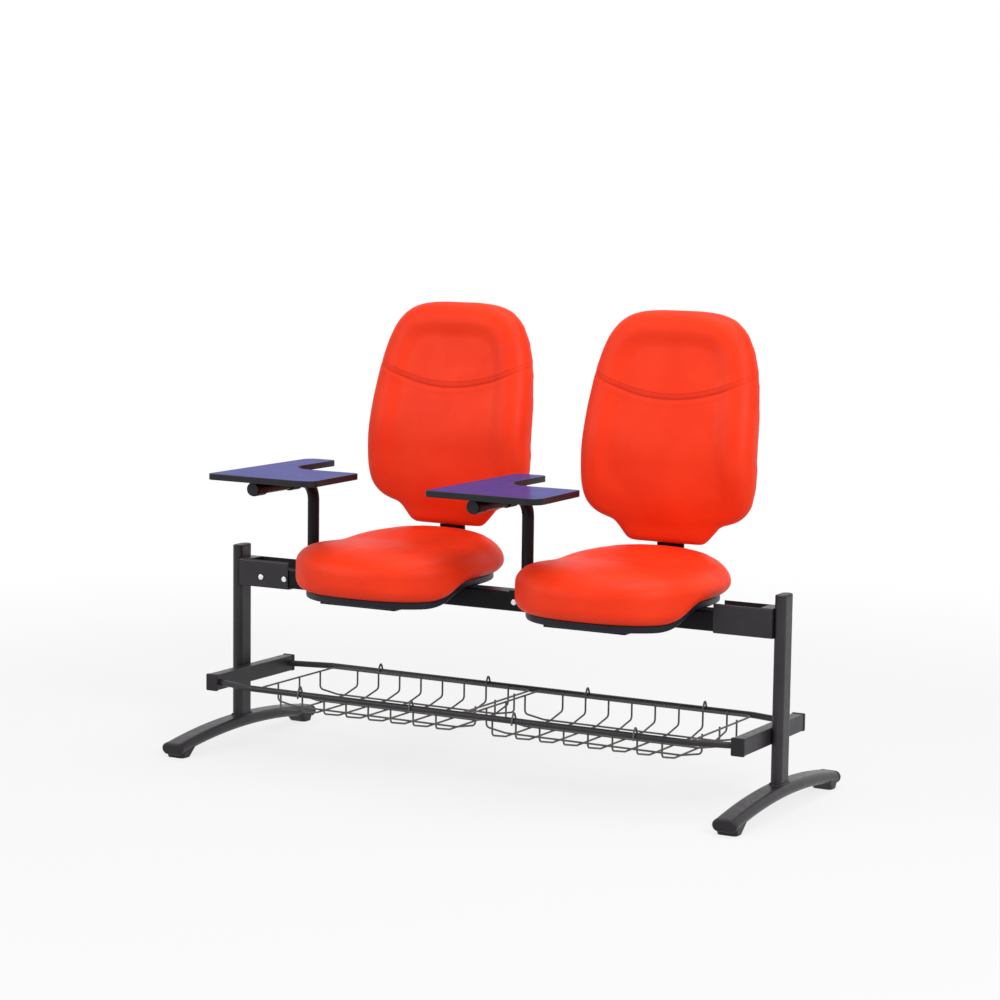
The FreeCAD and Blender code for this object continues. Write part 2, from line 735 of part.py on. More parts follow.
upward = V(0, 0, 1)
bar_bolts = []
for place in (bar_bolt_first, bar_bolt_first + bar_bolt_pitch):
    bolt_seat = V(0, place, beam_top - bar_thickness)
    bolt_end = V(0, place, saddle_top)
    back_bar = bored(back_bar, bolt_hole, bolt_seat - upward * past, bolt_end)
    saddle = bored(saddle, bolt_hole, bolt_seat, bolt_end + upward * past)
    bar_bolts.append(button_bolt(bolt_seat, upward, bolt_diameter, bar_thickness + saddle_plate,
                                 bolt_head, bolt_head_height, bolt_head_round))

seat_screws = []
for place, plate_bottom in ((seat_screw_front, beam_top - front_drop), (seat_screw_rear, beam_top)):
    for side in (-1, 1):
        screw_seat = V(side * seat_screw_spacing_x / 2, place, plate_bottom)
        screw_end = screw_seat + upward * (seat_screw_length + past)
        saddle = bored(saddle, screw_hole, screw_seat - upward * past, screw_end)
        pan = bored(pan, screw_hole, screw_seat, screw_end)
        board = bored(board, screw_hole, screw_seat, screw_end)
        seat_screws.append(button_bolt(screw_seat, upward, screw_diameter, seat_screw_length,
                                       screw_head, screw_head_height, screw_head_round))


# A hole right through the cheeks of a saddle and the beam
def cheek_hole(shape, x):
    return bored(shape, bolt_hole, V(x, -far, beam_axis_z), V(x, far, beam_axis_z))


def cheek_holes(shape, spacing):
    return cheek_hole(cheek_hole(shape, -spacing / 2), spacing / 2)


saddle = cheek_holes(saddle, saddle_bolt_spacing)

# Tablet arm: a post on a saddle of its own, bent forwards under the tablet
arm_radius = arm_diameter / 2
arm_end = V(0, -arm_reach, arm_axis_height)
arm_route = [V(0, 0, saddle_top), V(0, 0, arm_axis_height), arm_end]
arm = bent_tube(arm_route, arm_bend, arm_diameter, arm_wall)
arm_saddle = box((-arm_saddle_length / 2, -cheek_y, beam_top - arm_saddle_drop),
                 (arm_saddle_length / 2, cheek_y, saddle_top))
arm_saddle = arm_saddle.cut(box((-far, -beam_depth / 2, 0), (far, beam_depth / 2, beam_top)))
arm_saddle = cheek_holes(arm_saddle, arm_bolt_spacing)

outward = V(0, -1, 0)
arm_plug = cylinder(arm_radius + arm_plug_lip, arm_end, arm_end + outward * arm_plug_head)
plug_rim = min(arm_plug.Edges, key=lambda edge: edge.CenterOfMass.y)
arm_plug = arm_plug.makeFillet(arm_plug_lip, [plug_rim])
arm_spigot = cylinder(arm_radius - arm_wall - plug_clearance, arm_end - outward * plug_depth, arm_end)
arm_plug = arm_plug.fuse(arm_spigot).removeSplitter()

strap_rear = -max(arm_bend, tablet_wing_rear) - strap_inset - strap_width / 2
strap_front = -arm_reach + contact_gap + strap_width / 2
strap_places = (strap_rear, strap_front)
arm_line = cylinder(arm_radius, V(0, -arm_reach, arm_axis_height), V(0, 0, arm_axis_height))
lug_y = (strap_rear + strap_front) / 2
lug_top = tablet_bottom - contact_gap
rest_lug = box((0, lug_y - lug_length / 2, lug_top - lug_height),
               (lug_reach, lug_y + lug_length / 2, lug_top))
rest_lug = rest_lug.cut(arm_line)

# Tablet: L-shaped board, narrow beside the sitter and wide in front
strip_edge = tablet_strip - tablet_left
tablet_corners = [
    (-tablet_left, -tablet_front, tablet_corner_round),
    (tablet_right, -tablet_front - tablet_skew, tablet_lap_round),
    (tablet_right - tablet_skew, -tablet_wing_rear, tablet_corner_round),
    (strip_edge, -tablet_wing_rear, tablet_notch_round),
    (strip_edge, tablet_rear, tablet_corner_round),
    (-tablet_left, tablet_rear, tablet_rear_round),
]
tablet_outline = rounded_outline([V(x, y, tablet_bottom) for x, y, rounding in tablet_corners],
                                 [rounding for x, y, rounding in tablet_corners])
rise = V(0, 0, tablet_thickness)
tablet_full = Part.Face(tablet_outline).extrude(rise)
tablet_board = Part.Face(tablet_outline.makeOffset2D(-edge_band)).extrude(rise)
rims = [edge for edge in tablet_full.Edges if edge.BoundBox.ZLength < tablet_thickness / 2]
tablet_edge = tablet_full.makeFillet(edge_round, rims).cut(tablet_board)

straps = []
tablet_screws = []
bore_radius = arm_radius + hinge_clearance
for place in strap_places:
    low = place - strap_width / 2
    high = place + strap_width / 2
    strap = cylinder(strap_radius, V(0, low, arm_axis_height), V(0, high, arm_axis_height))
    flange_half = strap_radius + strap_flange
    strap = strap.fuse(box((-flange_half, low, tablet_bottom - strap_band),
                           (flange_half, high, tablet_bottom)))
    strap = bored(strap, 2 * bore_radius, V(0, low - past, arm_axis_height),
                  V(0, high + past, arm_axis_height))
    for side in (-1, 1):
        screw_seat = V(side * (flange_half - strap_flange / 2), place, tablet_bottom - strap_band)
        screw_end = screw_seat + upward * tablet_screw_length
        hole = tablet_screw_diameter + hole_clearance
        strap = bored(strap, hole, screw_seat - upward * past, screw_end)
        tablet_board = bored(tablet_board, hole, screw_seat, screw_end + upward * past)
        tablet_screws.append(button_bolt(screw_seat, upward, tablet_screw_diameter, tablet_screw_length,
                                         tablet_screw_head, tablet_screw_head_height,
                                         tablet_screw_head_round))
    straps.append(strap.removeSplitter())

all_seat_screws = []
all_back_screws = []
all_bar_bolts = []
through_bolts = []
bolt_length = 2 * cheek_y + nut_height
for side, seat_x in seat_places.items():
    arm_x = seat_x - arm_offset
    for name, solid in (("seat_saddle", saddle), ("seat_pan", pan), ("seat_board", board),
                        ("seat_cushion", cushion), ("back_bar", back_bar), ("back_shell", back_shell),
                        ("back_cushion", back_cushion)):
        parts[name + "_" + side] = [moved(solid, x=seat_x)]
    for name, solid in (("tablet_arm", arm), ("arm_saddle", arm_saddle), ("arm_plug", arm_plug),
                        ("rest_lug", rest_lug), ("tablet_board", tablet_board),
                        ("tablet_edge", tablet_edge)):
        parts[name + "_" + side] = [moved(solid, x=arm_x)]
    parts["tablet_straps_" + side] = [moved(solid, x=arm_x) for solid in straps]
    parts["tablet_screws_" + side] = [moved(solid, x=arm_x) for solid in tablet_screws]
    all_seat_screws += [moved(solid, x=seat_x) for solid in seat_screws]
    all_back_screws += [moved(solid, x=seat_x) for solid in back_screws]
    all_bar_bolts += [moved(solid, x=seat_x) for solid in bar_bolts]
    for x in (seat_x - saddle_bolt_spacing / 2, seat_x + saddle_bolt_spacing / 2,
              arm_x - arm_bolt_spacing / 2, arm_x + arm_bolt_spacing / 2):
        beam = cheek_hole(beam, x)
        bolt_seat = V(x, -cheek_y, beam_axis_z)
        through_bolts.append(button_bolt(bolt_seat, inward, bolt_diameter, bolt_length,
                                         bolt_head, bolt_head_height, bolt_head_round))
        nuts.append(hex_nut(V(x, cheek_y, beam_axis_z), inward, nut_height, bolt_hole))
parts["beam"] = [beam]
parts["seat_screws"] = all_seat_screws
parts["back_screws"] = all_back_screws
parts["back_bar_bolts"] = all_bar_bolts
parts["through_bolts"] = through_bolts
parts["hex_nuts"] = nuts

# Baskets: cross wires hang inside the rails, and two of them hook over each rail
hook_y = rail_spread / 2
leg_y = hook_y - rail_diameter / 2 - wire / 2 - contact_gap
rim_y = leg_y - wire - weld_gap
floor_z = rack_height - basket_depth
shoulder_z = rack_height - basket_shoulder
stub_z = rack_height + wire_stub


def hook_points(side):
    tail_y = side * (2 * hook_y - leg_y)
    return [V(0, tail_y, rack_height - hook_tail), V(0, tail_y, rack_height + hook_knee),
            V(0, side * hook_y, rack_height + hook_rise), V(0, side * leg_y, rack_height + hook_knee)]


def cross_wire(hooked):
    trough = [V(0, leg_y, shoulder_z), V(0, basket_floor_half, floor_z),
              V(0, -basket_floor_half, floor_z), V(0, -leg_y, shoulder_z)]
    if not hooked:
        points = [V(0, leg_y, stub_z)] + trough + [V(0, -leg_y, stub_z)]
        return bent_rod(points, wire_bend, wire)
    points = hook_points(1) + trough + hook_points(-1)[::-1]
    hook_bends = [wire_bend, hook_bend, wire_bend]
    bends = hook_bends + [wire_bend] * len(trough) + hook_bends
    path = Part.Wire(bent_path(points, bends))
    ring = Part.Wire(Part.makeCircle(wire / 2, points[0], upward))
    return path.makePipeShell([ring], True, False)


rim_half = basket_length / 2 - wire / 2
rim_corners = [V(-rim_half, -rim_y, rack_height), V(rim_half, -rim_y, rack_height),
               V(rim_half, rim_y, rack_height), V(-rim_half, rim_y, rack_height)]
rim_outline = rounded_outline(rim_corners, [rim_corner] * len(rim_corners))
rim_start = rim_outline.Edges[0].Vertexes[0].Point
rim_ring = Part.Wire(Part.makeCircle(wire / 2, rim_start, rim_outline.Edges[0].tangentAt(0)))
rim = rim_outline.makePipeShell([rim_ring], True, False)

long_end = rim_half - wire - weld_gap
long_floor = floor_z + wire + weld_gap
long_wires = []
for place in long_wire_places:
    run = [V(-long_end, place, stub_z), V(-long_end, place, shoulder_z),
           V(-long_end + basket_end_slope, place, long_floor),
           V(long_end - basket_end_slope, place, long_floor),
           V(long_end, place, shoulder_z), V(long_end, place, stub_z)]
    long_wires.append(bent_rod(run, wire_bend, wire))

plain_wire = cross_wire(False)
hook_wire = cross_wire(True)
for side, basket_x in basket_places.items():
    cross_wires = []
    for index in range(cross_wire_count):
        x = basket_x + (index - (cross_wire_count - 1) / 2) * cross_wire_pitch
        cross_wires.append(moved(hook_wire if index in hooked_wires else plain_wire, x=x))
    parts["basket_rim_" + side] = [moved(rim, x=basket_x)]
    parts["basket_cross_wires_" + side] = cross_wires
    parts["basket_long_wires_" + side] = [moved(solid, x=basket_x) for solid in long_wires]

os.makedirs("parts", exist_ok=True)
for name, solids in parts.items():
    shape = solids[0] if len(solids) == 1 else Part.makeCompound(solids)
    shape.exportStep("parts/" + name + ".step")
    print(name, len(shape.Solids), round(shape.Volume), shape.isValid())
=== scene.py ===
# Looks of the two-seat classroom chair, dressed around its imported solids, in metres
import json
import math
import bmesh
import bpy
import numpy as np
from mathutils import Matrix, Vector
from mathutils.bvhtree import BVHTree


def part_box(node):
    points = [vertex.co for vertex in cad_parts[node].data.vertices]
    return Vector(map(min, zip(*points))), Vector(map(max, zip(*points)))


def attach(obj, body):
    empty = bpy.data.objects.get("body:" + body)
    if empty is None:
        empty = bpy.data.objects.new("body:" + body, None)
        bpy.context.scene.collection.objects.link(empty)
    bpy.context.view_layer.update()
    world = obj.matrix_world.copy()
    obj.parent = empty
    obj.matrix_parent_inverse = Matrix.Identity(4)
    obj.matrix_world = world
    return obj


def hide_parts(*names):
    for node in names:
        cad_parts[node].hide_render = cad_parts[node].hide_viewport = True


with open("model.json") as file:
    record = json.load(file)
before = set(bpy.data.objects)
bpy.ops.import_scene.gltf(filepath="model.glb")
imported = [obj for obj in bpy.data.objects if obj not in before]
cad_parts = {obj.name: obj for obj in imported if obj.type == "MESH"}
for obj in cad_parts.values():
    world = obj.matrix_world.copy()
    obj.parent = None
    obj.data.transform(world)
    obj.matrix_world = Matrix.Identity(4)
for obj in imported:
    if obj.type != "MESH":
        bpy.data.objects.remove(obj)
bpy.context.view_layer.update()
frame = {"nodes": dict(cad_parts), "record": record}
nodes = frame["nodes"]
scene = bpy.context.scene
mm = 0.001
print("frame loaded:", len(nodes), "nodes")


# Materials

def linear(hexText):
    channels = [int(hexText[i:i + 2], 16) / 255 for i in (1, 3, 5)]
    curved = [c / 12.92 if c <= 0.04045 else ((c + 0.055) / 1.055) ** 2.4 for c in channels]
    return (*curved, 1.0)


def addNode(tree, kind, settings, links=None):
    node = tree.nodes.new(kind)
    for name, value in settings.items():
        if isinstance(name, int) or name in node.inputs:
            node.inputs[name].default_value = value
        else:
            setattr(node, name, value)
    for name, source in (links or {}).items():
        tree.links.new(source, node.inputs[name])
    return node


# Every finish has a tone that drifts between two colours, a gloss that drifts, and a surface grain
driftLook = {"toneStops": (0.35, 0.65), "toneDetail": 3.0, "glossStops": (0.3, 0.7), "glossDetail": 4.0}
# Places of the two colours and of the result on a Mix node
mixFirst, mixSecond, mixResult = 6, 7, 2


def startFinish(name, look, settings):
    material = bpy.data.materials.new(name)
    material.use_nodes = True
    tree = material.node_tree
    tree.nodes.clear()
    shader = addNode(tree, "ShaderNodeBsdfPrincipled", settings)
    addNode(tree, "ShaderNodeOutputMaterial", {}, {"Surface": shader.outputs["BSDF"]})
    coords = addNode(tree, "ShaderNodeTexCoord", {})
    along = addNode(tree, "ShaderNodeMapping", {"Scale": look.get("stretch", (1, 1, 1))},
                    {"Vector": coords.outputs["Object"]}).outputs["Vector"]
    cloud = addNode(tree, "ShaderNodeTexNoise",
                    {"Scale": 1 / look["toneSize"], "Detail": driftLook["toneDetail"]}, {"Vector": along})
    tone = addNode(tree, "ShaderNodeValToRGB", {}, {"Fac": cloud.outputs["Fac"]})
    for stop, place, shade in zip(tone.color_ramp.elements, driftLook["toneStops"], look["tones"]):
        stop.position = place
        stop.color = linear(shade)
    tree.links.new(tone.outputs["Color"], shader.inputs["Base Color"])
    smear = addNode(tree, "ShaderNodeTexNoise",
                    {"Scale": 1 / look["glossSize"], "Detail": driftLook["glossDetail"]}, {"Vector": along})
    low, high = driftLook["glossStops"]
    smooth, rough = look["rough"]
    gloss = addNode(tree, "ShaderNodeMapRange",
                    {"From Min": low, "From Max": high, "To Min": smooth, "To Max": rough},
                    {"Value": smear.outputs["Fac"]})
    tree.links.new(gloss.outputs["Result"], shader.inputs["Roughness"])
    grain = addNode(tree, look.get("grainKind", "ShaderNodeTexNoise"), {"Scale": 1 / look["grainSize"]},
                    {"Vector": along})
    relief = addNode(tree, "ShaderNodeBump",
                     {"Strength": look["grainStrength"], "Distance": look["grainDepth"]},
                     {"Height": grain.outputs[0]})
    tree.links.new(relief.outputs["Normal"], shader.inputs["Normal"])
    return material, tree, shader, tone.outputs["Color"], coords.outputs["Object"]


# Vinyl leathercloth: a calendered PVC skin over foam, soft sheen, fine pebbled grain, with painted shade
# darkening its seams.
# The real pebble is under 1 mm, too fine to show, so it is drawn at about twice that
# The seam colour below is the dark red of the painted shade in the seams
vinylLook = {"tones": ("#ea330f", "#f03914"), "toneSize": 90 * mm, "rough": (0.46, 0.56),
             "glossSize": 25 * mm, "grainKind": "ShaderNodeTexVoronoi", "grainSize": 1.8 * mm,
             "grainDepth": 0.12 * mm, "grainStrength": 0.3, "seamShadeTone": "#b01a08"}


def vinylLeathercloth(look):
    settings = {"IOR": 1.5, "Specular IOR Level": 0.18}
    material, tree, shader, tone = startFinish("vinylLeathercloth", look, settings)[:4]
    # Painted shade: a mask made when the seam is sewn mixes the cover towards a dark red in the seam groove
    # and under the lapped cover
    seam = addNode(tree, "ShaderNodeAttribute", {"attribute_name": "seamShade"})
    shade = addNode(tree, "ShaderNodeMix", {"data_type": "RGBA", mixSecond: linear(look["seamShadeTone"])},
                    {"Factor": seam.outputs["Fac"], mixFirst: tone})
    tree.links.new(shade.outputs[mixResult], shader.inputs["Base Color"])
    return material


# High-pressure laminate on board: glossy violet melamine face above, dark brown balancing sheet below.
# It is a little metallic, with no white gloss of its own, so what it mirrors takes on its violet
laminateLook = {"tones": ("#43448a", "#4b4c94"), "toneSize": 14 * mm, "rough": (0.16, 0.24),
                "glossSize": 40 * mm, "grainSize": 2.5 * mm, "grainDepth": 0.02 * mm, "grainStrength": 0.15,
                "backTone": "#2a1a22"}


def violetLaminate(look):
    settings = {"Metallic": 0.22, "Specular IOR Level": 0.0}
    material, tree, shader, tone, coords = startFinish("violetLaminate", look, settings)
    low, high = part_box("tablet_board_left")
    place = addNode(tree, "ShaderNodeSeparateXYZ", {}, {"Vector": coords})
    face = addNode(tree, "ShaderNodeMath", {"operation": "GREATER_THAN", 1: (low[2] + high[2]) / 2},
                   {0: place.outputs["Z"]})
    side = addNode(tree, "ShaderNodeMix", {"data_type": "RGBA", mixFirst: linear(look["backTone"])},
                   {"Factor": face.outputs[0], mixSecond: tone})
    tree.links.new(side.outputs[mixResult], shader.inputs["Base Color"])
    return material


# Polyester powder coat on steel: an even satin film with a faint orange peel
coatGrain = {"toneSize": 45 * mm, "glossSize": 12 * mm, "grainSize": 1.6 * mm, "grainDepth": 0.1 * mm,
             "grainStrength": 0.35}
coatLooks = {
    "frame_coat": {"name": "charcoalPowderCoat", "tones": ("#252226", "#2d292e"), "rough": (0.31, 0.42),
                   "shine": 0.3},
    "black_coat": {"name": "blackPowderCoat", "tones": ("#08080c", "#0d0d12"), "rough": (0.35, 0.46),
                   "shine": 0.15},
    "wire_coat": {"name": "greyWireCoat", "tones": ("#4f4e4c", "#5c5b58"), "rough": (0.35, 0.46),
                  "shine": 0.3},
}
# Injection-moulded polypropylene: a low sheen from the spark-eroded texture of its mould.
# The real texture is about 0.2 mm, too fine to show, so it is drawn coarser
plasticGrain = {"toneSize": 60 * mm, "rough": (0.38, 0.5), "glossSize": 8 * mm, "grainSize": 0.9 * mm,
                "grainDepth": 0.08 * mm, "grainStrength": 0.4}
plasticLooks = {
    "black_plastic": {"name": "blackPolypropylene", "tones": ("#0e0e1a", "#141422")},
    "grey_plastic": {"name": "charcoalPolypropylene", "tones": ("#1f1c20", "#272328")},
}
# Zinc-plated steel: a bright cool metal with cloudy patches of spangle
zincLook = {"tones": ("#d6d8db", "#eceef0"), "toneSize": 3 * mm, "rough": (0.24, 0.36), "glossSize": 2 * mm,
            "grainSize": 1.2 * mm, "grainDepth": 0.02 * mm, "grainStrength": 0.2}
# Birch plywood: pale wood with its grain along X
plywoodLook = {"tones": ("#a97c4a", "#c69c68"), "toneSize": 4 * mm, "rough": (0.5, 0.65),
               "glossSize": 6 * mm, "grainSize": 1.5 * mm, "grainDepth": 0.1 * mm, "grainStrength": 0.4,
               "stretch": (0.08, 1, 1)}
# Extruded PVC edging: black with a low sheen
edgingLook = {"tones": ("#0f0f14", "#17171d"), "toneSize": 30 * mm, "rough": (0.36, 0.46),
              "glossSize": 6 * mm, "grainSize": 1.5 * mm, "grainDepth": 0.03 * mm, "grainStrength": 0.2}

finishes = {
    "vinyl": vinylLeathercloth(vinylLook),
    "laminate": violetLaminate(laminateLook),
    "zinc": startFinish("zincPlate", zincLook, {"Metallic": 1.0})[0],
    "plywood": startFinish("birchPlywood", plywoodLook, {"IOR": 1.5})[0],
    "edging": startFinish("pvcEdging", edgingLook, {"IOR": 1.52, "Specular IOR Level": 0.25})[0],
}
for slot, coat in coatLooks.items():
    coatSettings = {"IOR": 1.5, "Specular IOR Level": coat["shine"]}
    finishes[slot] = startFinish(coat["name"], {**coatGrain, **coat}, coatSettings)[0]
for slot, plastic in plasticLooks.items():
    plasticSettings = {"IOR": 1.49, "Specular IOR Level": 0.25}
    finishes[slot] = startFinish(plastic["name"], {**plasticGrain, **plastic}, plasticSettings)[0]
for subpart in frame["record"]["subparts"]:
    nodeMaterials = nodes[subpart["node"]].data.materials
    nodeMaterials.clear()
    nodeMaterials.append(finishes[subpart["material_slot"]])
print("materials set")


# Upholstery: each pad starts from its CAD solid, is remeshed and blown up a little as cloth; the back pads
# are then sewn

def newObject(name, data):
    piece = bpy.data.objects.new(name, data)
    scene.collection.objects.link(piece)
    return piece


def appliedMesh(piece):
    graph = bpy.context.evaluated_depsgraph_get()
    graph.update()
    return bpy.data.meshes.new_from_object(piece.evaluated_get(graph), depsgraph=graph)


def vertexData(mesh, kind):
    values = np.empty(len(mesh.vertices) * 3)
    mesh.vertices.foreach_get(kind, values)
    return values.reshape(-1, 3)


def setPlaces(mesh, places):
    mesh.vertices.foreach_set("co", places.ravel())
    mesh.update()


def mergedCopy(nodeName, pieceName):
    mesh = bpy.data.meshes.new(pieceName)
    bm = bmesh.new()
    bm.from_mesh(nodes[nodeName].data)
    bmesh.ops.remove_doubles(bm, verts=bm.verts, dist=0.01 * mm)
    bm.to_mesh(mesh)
    bm.free()
    return newObject(pieceName, mesh)


def replaceMesh(piece, mesh):
    old = piece.data
    piece.modifiers.clear()
    piece.data = mesh
    bpy.data.meshes.remove(old)


def remeshed(piece, look):
    remesh = piece.modifiers.new("voxels", "REMESH")
    remesh.mode = "VOXEL"
    remesh.voxel_size = look["voxel"]
    replaceMesh(piece, appliedMesh(piece))
    bm = bmesh.new()
    bm.from_mesh(piece.data)
    for turn in range(look["smoothing"]):
        bmesh.ops.smooth_vert(bm, verts=bm.verts, factor=0.5,
                              use_axis_x=True, use_axis_y=True, use_axis_z=True)
    bm.to_mesh(piece.data)
    bm.free()


# The cover starts a little off its CAD size and is filled by pressure.
# Points in held lie on the pan or shell and stay there
def blownUp(piece, look, held):
    mesh = piece.data
    outset = evened(mesh, look["outset"] * (1.0 - held), look["tautness"])
    start = vertexData(mesh, "co") + vertexData(mesh, "normal") * outset[:, None]
    setPlaces(mesh, start)
    group = piece.vertex_groups.new(name="held")
    group.add([int(i) for i in np.nonzero(held)[0]], 1.0, "REPLACE")
    cloth = piece.modifiers.new("cover", "CLOTH")
    cloth.settings.vertex_group_mass = "held"
    cloth.settings.use_pressure = True
    cloth.settings.uniform_pressure_force = look["pressure"]
    cloth.settings.effector_weights.gravity = 0
    cloth.point_cache.frame_end = look["frames"]
    for step in range(1, look["frames"] + 1):
        scene.frame_set(step)
    shift = vertexData(appliedMesh(piece), "co") - start
    scene.frame_set(1)
    piece.modifiers.clear()
    piece.vertex_groups.clear()
    outward = vertexData(mesh, "normal")
    swell = (shift * outward).sum(axis=1)
    print(piece.name, "swelled by up to", round(float(swell.max()) / mm, 1), "mm before the cap")
    swell = evened(mesh, swell.clip(0, look["cap"]), look["tautness"])
    setPlaces(mesh, start + outward * swell[:, None])


# A taut cover has no small creases, so the swelling is spread over each point's neighbours
def evened(mesh, swell, rounds):
    edges = np.empty(len(mesh.edges) * 2, dtype=np.int64)
    mesh.edges.foreach_get("vertices", edges)
    first, second = edges.reshape(-1, 2).T
    size = len(swell)
    count = np.bincount(edges, minlength=size)
    for turn in range(rounds):
        around = np.bincount(first, swell[second], size) + np.bincount(second, swell[first], size)
        swell = (swell + around / count) / 2
    return swell


def subdivided(piece):
    surface = piece.modifiers.new("surface", "SUBSURF")
    surface.levels = 1
    surface.render_levels = 1
    replaceMesh(piece, appliedMesh(piece))


def finishPad(piece, node):
    piece.data.materials.clear()
    piece.data.materials.append(finishes["vinyl"])
    piece.data.shade_smooth()
    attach(piece, "frame")
    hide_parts(node)


def twin(piece, name, shift):
    mesh = piece.data.copy()
    mesh.transform(Matrix.Translation(shift))
    return newObject(name, mesh)


def eased(values, start, end):
    share = np.clip((values - start) / (end - start), 0, 1)
    return share * share * (3 - 2 * share)


rimLook = {"steps": 360, "spread": 3}


# Shortest distance of each point to the pad's outline, seen along the axis that is left out.
# Distances above the middle count topShare times, which makes the top roll narrower
def edgeDistance(places, axes, middle, topShare=1.0):
    flat = places[:, axes] - np.array(middle)
    flat[:, 1] *= np.where(flat[:, 1] > 0, topShare, 1)
    turn = np.arctan2(flat[:, 1], flat[:, 0])
    steps = rimLook["steps"]
    spread = rimLook["spread"]
    bins = ((turn / math.tau + 0.5) * steps).astype(int) % steps
    reach = np.zeros(steps)
    np.maximum.at(reach, bins, np.hypot(flat[:, 0], flat[:, 1]))
    reach = np.mean([np.roll(reach, shift) for shift in range(-spread, spread + 1)], axis=0)
    rimTurn = ((np.arange(steps) + 0.5) / steps - 0.5) * math.tau
    rim = np.column_stack((np.cos(rimTurn), np.sin(rimTurn))) * reach[:, None]
    return np.min([np.hypot(*(flat - point).T) for point in rim], axis=0)


# The top falls away towards the edge in one soft curve and swells at the rear, and the lower edge is tucked
# in under the roll. Slices across the seat tell how high in the pad a point lies, from 0 to 1
def roundSeat(piece, look):
    places = vertexData(piece.data, "co")
    low = places.min(axis=0)
    high = places.max(axis=0)
    middle = (low + high) / 2
    place = (places[:, 1] - low[1]) / (high[1] - low[1]) * look["slices"]
    slices = place.astype(int).clip(0, look["slices"] - 1)
    under = np.full(look["slices"], high[2])
    over = np.full(look["slices"], low[2])
    np.minimum.at(under, slices, places[:, 2])
    np.maximum.at(over, slices, places[:, 2])
    marks = np.arange(look["slices"]) + 0.5
    base = np.interp(place, marks, under)
    depth = np.interp(place, marks, over) - base + mm
    share = ((places[:, 2] - base) / depth).clip(0, 1)
    inwards = edgeDistance(places, [0, 1], middle[:2])
    near = (1 - inwards / look["edgeReach"]).clip(0, 1)
    rim = (1 - inwards / look["tuckReach"]).clip(0, 1)
    rear = eased(places[:, 1], *look["rearPlace"])
    places[:, 2] += look["tuck"] * rim ** 2 * (1 - share) ** 2
    places[:, 2] += (look["rearLift"] * rear - look["edgeDrop"] * near ** 2) * share ** 2
    setPlaces(piece.data, places)


seatLook = {"voxel": 5 * mm, "smoothing": 8, "outset": -1.5 * mm, "pressure": 4.0, "frames": 20,
            "cap": 8 * mm, "fill": 0.8, "tautness": 90, "heldSlope": 0.5, "edgeDrop": 9 * mm,
            "edgeReach": 75 * mm, "slices": 84, "rearLift": 12 * mm, "rearPlace": (5 * mm, 105 * mm),
            "tuck": 10 * mm, "tuckReach": 32 * mm}
seat = mergedCopy("seat_cushion_left", "seatPadLeft")
remeshed(seat, seatLook)
blownUp(seat, seatLook, vertexData(seat.data, "normal")[:, 2] < -seatLook["heldSlope"])
subdivided(seat)
roundSeat(seat, seatLook)
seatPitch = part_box("seat_cushion_right")[0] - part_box("seat_cushion_left")[0]
finishPad(seat, "seat_cushion_left")
finishPad(twin(seat, "seatPadRight", seatPitch), "seat_cushion_right")
print("seat pads made:", len(seat.data.polygons), "faces each")

backLook = {"voxel": 5 * mm, "smoothing": 16, "outset": 2 * mm, "pressure": 4.0, "frames": 20,
            "cap": 7 * mm, "fill": 0.8, "tautness": 90, "heldSlope": 0.5, "middle": 690 * mm,
            "frontFacing": (-0.2, 0.5), "dish": 9 * mm, "crest": 40 * mm, "slope": 44 * mm,
            "edgeFall": 8 * mm, "topShare": 1.1, "dishLow": 560 * mm, "dishHigh": 650 * mm}
# The seam droops in the middle; the cover above it is lapped over and topstitched
# lineShade and bandShade set how dark the painted shade is along the seam groove and over the lapped band
seamLook = {"low": 782 * mm, "rise": 41 * mm, "reach": 170 * mm, "band": 24 * mm, "depth": 1.9 * mm,
            "above": 15 * mm, "below": 5 * mm, "lip": 0.6 * mm, "lipPlace": 10 * mm, "lipWidth": 5 * mm,
            "pucker": 0.35 * mm, "row": 11 * mm, "rowWidth": 4.5 * mm, "pitch": 6.5 * mm, "line": 2.2 * mm,
            "lineShade": 0.75, "bandShade": 0.2, "bandEase": 3 * mm, "turnedBack": 0.35,
            "frontFacing": (-0.3, 0.2), "sideFade": (110 * mm, 190 * mm), "sideLoss": 0.7}
back = mergedCopy("back_cushion_left", "backPadLeft")
backMiddle = sum(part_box("back_cushion_left"), Vector()).x / 2


# A firm roll runs round the edge and the panel inside it is hollowed for the sitter's back
def hollowPanel(piece, look):
    places = vertexData(piece.data, "co")
    front = eased(-vertexData(piece.data, "normal")[:, 1], *look["frontFacing"])
    inwards = edgeDistance(places, [0, 2], (backMiddle, look["middle"]), look["topShare"])
    hollow = look["dish"] * eased(inwards, look["crest"], look["crest"] + look["slope"])
    fall = look["edgeFall"] * (1 - inwards / look["crest"]).clip(0, 1) ** 2
    places[:, 1] += (hollow + fall) * front * eased(places[:, 2], look["dishLow"], look["dishHigh"])
    setPlaces(piece.data, places)


def seamHeight(x, look):
    return look["low"] + look["rise"] * ((x - backMiddle) / look["reach"]) ** 2
